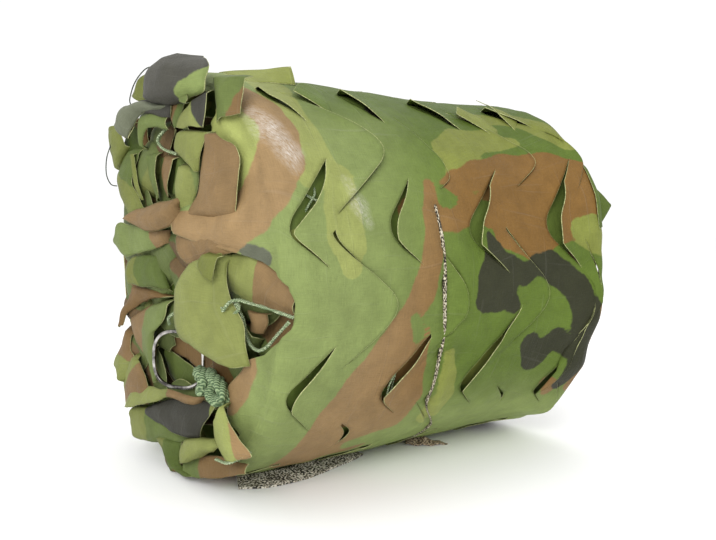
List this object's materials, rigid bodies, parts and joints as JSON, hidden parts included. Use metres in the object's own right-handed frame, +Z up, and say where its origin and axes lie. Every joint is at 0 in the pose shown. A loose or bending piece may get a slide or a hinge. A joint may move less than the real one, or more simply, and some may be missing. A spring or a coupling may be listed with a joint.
{
  "type": "rolled camouflage net",
  "caption": "Leaf-cut camouflage net rolled into a short drum, with a crumpled end, a webbing tie whose ends lie on the ground, and a small steel ring knotted on at one corner.",
  "frame": {"origin": "on the ground, at the middle of the whole part's box", "axes": "+X along the roll from its crumpled end to its flat wound end, +Z up, +Y to the back of the side where the tie's ends lie"},
  "size_m": [0.3133, 0.2892, 0.2914],
  "materials": {
    "net_cloth": "printed woodland camouflage in green, brown, yellow-green and black on a coated plain weave, matt with a faint sheen",
    "tie_webbing": "grey-brown heathered flat tape, matt",
    "ring_steel": "bright bent wire",
    "knot_cord": "green braided cord, matt",
    "net_twine": "pale green twisted twine, matt"
  },
  "bodies": {
    "root": {"net_roll": "net_cloth", "tie_band": "tie_webbing", "tie_tail": "tie_webbing", "tie_loop": "tie_webbing", "steel_ring": "ring_steel", "ring_cord": "knot_cord", "mesh_twine": "net_twine"}
  },
  "joints": []
}
